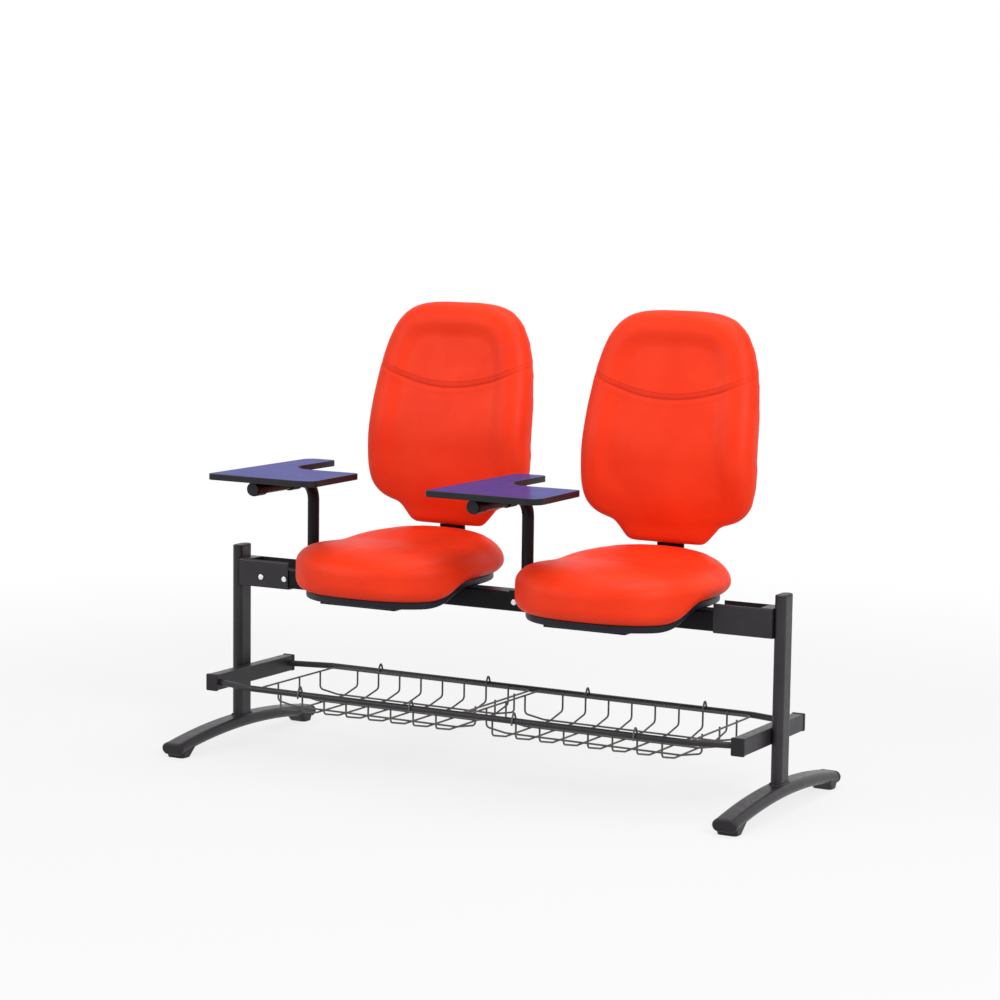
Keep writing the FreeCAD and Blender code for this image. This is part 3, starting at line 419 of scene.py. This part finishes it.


# The mesh is made finer beside the seam, then pressed in along it and crimped by the stitches. Shade is
# painted along the seam groove and over the lapped band under the stitch row
def sewSeam(piece, look):
    bm = bmesh.new()
    bm.from_mesh(piece.data)
    facing = [v for v in bm.verts if v.normal.y < look["turnedBack"]]
    dense = {v for v in facing if abs(v.co.z - seamHeight(v.co.x, look)) < look["band"]}
    edges = [e for e in bm.edges if e.verts[0] in dense and e.verts[1] in dense]
    bmesh.ops.subdivide_edges(bm, edges=edges, cuts=1, use_grid_fill=True)
    bm.to_mesh(piece.data)
    bm.free()
    mesh = piece.data
    places = vertexData(mesh, "co")
    normals = vertexData(mesh, "normal")
    up = places[:, 2] - seamHeight(places[:, 0], look)
    front = eased(-normals[:, 1], *look["frontFacing"])
    slope = np.where(up > 0, 1 - up / look["above"], 1 + up / look["below"]).clip(0, 1)
    lip = np.exp(-((up + look["lipPlace"]) / look["lipWidth"]) ** 2) * look["lip"]
    ease = look["bandEase"]
    lapped = eased(up, 0, ease) * (1 - eased(up, look["row"], look["row"] + ease))
    row = np.exp(-((up - look["row"]) / look["rowWidth"]) ** 2)
    crimp = row * np.sin((places[:, 0] - backMiddle) / look["pitch"] * math.tau) * look["pucker"]
    shown = 1 - look["sideLoss"] * eased(np.abs(places[:, 0] - backMiddle), *look["sideFade"])
    rise = (lip - slope ** 2 * look["depth"] + crimp) * shown
    setPlaces(mesh, places + normals * (rise * front)[:, None])
    # Painted shade: dark along the seam groove, lighter over the lapped band, fading towards the sides
    shade = (look["lineShade"] * np.exp(-(up / look["line"]) ** 2) + look["bandShade"] * lapped) * shown
    layer = mesh.attributes.new("seamShade", "FLOAT", "POINT")
    layer.data.foreach_set("value", (shade * front).clip(0, 1).astype(np.float32))


# Spun polyester thread: a matt, slightly hairy red a shade darker than the cover
threadLook = {"tones": ("#a51d0b", "#bb2611"), "toneSize": 2 * mm, "rough": (0.6, 0.75),
              "glossSize": 1 * mm, "grainSize": 0.4 * mm, "grainDepth": 0.1 * mm, "grainStrength": 0.5}
# A stitch lies on the crest of each crimp, a quarter of the pitch on, and is found from far in front
stitchLook = {"length": 4.4 * mm, "thick": 1.1 * mm, "sink": 0.2 * mm, "margin": 16 * mm, "phase": 0.25,
              "castFrom": -1.0}


def stitchRow(name, pad, look, seam):
    skin = bmesh.new()
    skin.from_mesh(pad.data)
    cover = BVHTree.FromBMesh(skin)
    skin.free()
    bm = bmesh.new()
    count = int((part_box("back_cushion_left")[1].x - backMiddle - look["margin"]) / seam["pitch"])
    for step in range(-count, count + 1):
        x = backMiddle + (step + look["phase"]) * seam["pitch"]
        slope = 2 * seam["rise"] * (x - backMiddle) / seam["reach"] ** 2
        start = Vector((x, look["castFrom"], seamHeight(x, seam) + seam["row"]))
        spot, outward = cover.ray_cast(start, Vector((0, 1, 0)))[:2]
        if spot is None:
            continue
        across = outward.cross(Vector((1, 0, slope))).normalized()
        axes = Matrix((across.cross(outward), outward, across)).transposed().to_4x4()
        shape = Matrix.Diagonal((look["length"] / 2, look["thick"] / 2, look["thick"] / 2, 1))
        place = Matrix.Translation(spot - outward * look["sink"]) @ axes @ shape
        bmesh.ops.create_uvsphere(bm, u_segments=8, v_segments=5, radius=1, matrix=place)
    mesh = bpy.data.meshes.new(name)
    bm.to_mesh(mesh)
    bm.free()
    mesh.materials.append(thread)
    mesh.shade_smooth()
    return newObject(name, mesh)


thread = startFinish("polyesterThread", threadLook, {"Specular IOR Level": 0.2})[0]
remeshed(back, backLook)
blownUp(back, backLook, vertexData(back.data, "normal")[:, 1] > backLook["heldSlope"])
subdivided(back)
hollowPanel(back, backLook)
sewSeam(back, seamLook)
finishPad(back, "back_cushion_left")
finishPad(twin(back, "backPadRight", seatPitch), "back_cushion_right")
stitches = stitchRow("backStitchesLeft", back, stitchLook, seamLook)
for stitchPiece in (stitches, twin(stitches, "backStitchesRight", seatPitch)):
    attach(stitchPiece, "frame")
print("back pads made:", len(back.data.polygons), "faces each")


# Weld beads: a rippled fillet round the foot of each column, laid on the arched tube

# widthShare spaces the ripples evenly round a column that is deeper than wide
weldLook = {"radius": 2.6 * mm, "out": 0.8 * mm, "steps": 40, "ripple": 0.4 * mm, "ripples": 44,
            "widthShare": 2}


def weldBead(side, look):
    skin = bmesh.new()
    skin.from_mesh(nodes["foot_" + side].data)
    tube = BVHTree.FromBMesh(skin)
    skin.free()
    low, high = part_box("column_" + side)
    middle = (low + high) / 2
    radius = (high.x - low.x) / 2 + look["out"]
    straight = (high.y - low.y - high.x + low.x) / 2
    curve = bpy.data.curves.new("weld", "CURVE")
    curve.dimensions = "3D"
    curve.bevel_depth = look["radius"]
    curve.bevel_resolution = 3
    line = curve.splines.new("NURBS")
    line.points.add(look["steps"] - 1)
    for step, point in enumerate(line.points):
        turn = (step + 0.5) / look["steps"] * math.tau
        x = middle.x + radius * math.cos(turn)
        y = middle.y + radius * math.sin(turn) + math.copysign(straight, math.sin(turn))
        spot = tube.ray_cast(Vector((x, y, high.z)), Vector((0, 0, -1)))[0]
        point.co = (x, y, spot.z, 1)
    line.order_u = 3
    line.use_cyclic_u = True
    guide = newObject("weldGuide", curve)
    mesh = appliedMesh(guide)
    bpy.data.objects.remove(guide)
    places = vertexData(mesh, "co")
    turn = np.arctan2(places[:, 1] - middle.y, (places[:, 0] - middle.x) * look["widthShare"])
    wave = np.sin(turn * look["ripples"]) * look["ripple"]
    setPlaces(mesh, places + vertexData(mesh, "normal") * wave[:, None])
    mesh.materials.clear()
    mesh.materials.append(finishes["frame_coat"])
    mesh.shade_smooth()
    bead = newObject("weldBead" + side.capitalize(), mesh)
    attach(bead, "frame")


for side in ("left", "right"):
    weldBead(side, weldLook)
print("weld beads laid")


# Stage: pale floor, soft light, camera at the photograph's angle

cameraLook = {"azimuth": 29.23, "elevation": 6.77, "roll": 0.74, "lens": 97.417,
              "place": Vector((2.70292, -4.82595, 1.22679))}
floorLook = {"tone": "#d4d4d4", "near": 1.1, "far": 3.2, "nearWhite": 0.78, "size": 30.0}
worldLevel = 0.5
lampAim = Vector((0, 0, 0.5))
lampLooks = {
    "keyLamp": {"place": (4.6, -2.9, 3.6), "size": 2.2, "power": 190},
    "fillLamp": {"place": (-3.4, -3.4, 2.4), "size": 2.4, "power": 60},
    "topLamp": {"place": (0.4, 0.2, 4.0), "size": 2.6, "power": 60},
}


def makeCamera(look):
    turn = math.radians(look["azimuth"])
    lift = math.radians(look["elevation"])
    roll = math.radians(look["roll"])
    backward = Vector((math.sin(turn) * math.cos(lift), -math.cos(turn) * math.cos(lift), math.sin(lift)))
    right = (-backward).cross(Vector((0, 0, 1))).normalized()
    upward = right.cross(-backward)
    rolledRight = right * math.cos(roll) + upward * math.sin(roll)
    rolledUp = upward * math.cos(roll) - right * math.sin(roll)
    data = bpy.data.cameras.new("photoCamera")
    data.lens = look["lens"]
    data.clip_end = 60.0
    camera = newObject("photoCamera", data)
    axes = Matrix((rolledRight, rolledUp, backward)).transposed().to_4x4()
    camera.matrix_world = Matrix.Translation(look["place"]) @ axes
    scene.camera = camera


# What the camera, metal and gloss see directly is white
def seenDirectly(tree):
    path = addNode(tree, "ShaderNodeLightPath", {})
    glossy = addNode(tree, "ShaderNodeMath", {"operation": "MAXIMUM"},
                     {0: path.outputs["Is Glossy Ray"], 1: path.outputs["Is Transmission Ray"]})
    return addNode(tree, "ShaderNodeMath", {"operation": "MAXIMUM"},
                   {0: path.outputs["Is Camera Ray"], 1: glossy.outputs[0]}).outputs[0]


# Matt white vinyl sheet: shows the chair's soft shadow near it and fades to plain white further out
def whiteSheet(look):
    material = bpy.data.materials.new("whiteSheet")
    material.use_nodes = True
    tree = material.node_tree
    tree.nodes.clear()
    matt = addNode(tree, "ShaderNodeBsdfDiffuse", {"Color": linear(look["tone"])})
    glow = addNode(tree, "ShaderNodeEmission", {"Strength": 1.0})
    coords = addNode(tree, "ShaderNodeTexCoord", {})
    away = addNode(tree, "ShaderNodeVectorMath", {"operation": "LENGTH"},
                   {"Vector": coords.outputs["Object"]})
    fade = addNode(tree, "ShaderNodeMapRange",
                   {"interpolation_type": "SMOOTHSTEP", "From Min": look["near"], "From Max": look["far"],
                    "To Min": look["nearWhite"]}, {"Value": away.outputs["Value"]})
    share = addNode(tree, "ShaderNodeMath", {"operation": "MULTIPLY"},
                    {0: fade.outputs["Result"], 1: seenDirectly(tree)})
    sheet = addNode(tree, "ShaderNodeMixShader", {}, {"Fac": share.outputs[0]})
    tree.links.new(matt.outputs["BSDF"], sheet.inputs[1])
    tree.links.new(glow.outputs["Emission"], sheet.inputs[2])
    addNode(tree, "ShaderNodeOutputMaterial", {}, {"Surface": sheet.outputs["Shader"]})
    return material


def makeFloor(look):
    mesh = bpy.data.meshes.new("floor")
    bm = bmesh.new()
    bmesh.ops.create_grid(bm, x_segments=1, y_segments=1, size=look["size"] / 2)
    bm.to_mesh(mesh)
    bm.free()
    mesh.materials.append(whiteSheet(look))
    newObject("floor", mesh)


def makeLamp(name, look):
    data = bpy.data.lights.new(name, "AREA")
    data.shape = "DISK"
    data.size = look["size"]
    data.energy = look["power"]
    lamp = newObject(name, data)
    aim = lampAim - Vector(look["place"])
    turned = aim.to_track_quat("-Z", "Y").to_matrix().to_4x4()
    lamp.matrix_world = Matrix.Translation(look["place"]) @ turned


def makeWorld(level):
    world = bpy.data.worlds.new("studio")
    scene.world = world
    world.use_nodes = True
    tree = world.node_tree
    tree.nodes.clear()
    strength = addNode(tree, "ShaderNodeMapRange", {"To Min": level}, {"Value": seenDirectly(tree)})
    sky = addNode(tree, "ShaderNodeBackground", {"Color": (1, 1, 1, 1)},
                  {"Strength": strength.outputs["Result"]})
    addNode(tree, "ShaderNodeOutputWorld", {}, {"Surface": sky.outputs["Background"]})


makeCamera(cameraLook)
makeFloor(floorLook)
makeWorld(worldLevel)
for lampName, lampLook in lampLooks.items():
    makeLamp(lampName, lampLook)
scene.view_settings.view_transform = "Standard"
print("stage set")
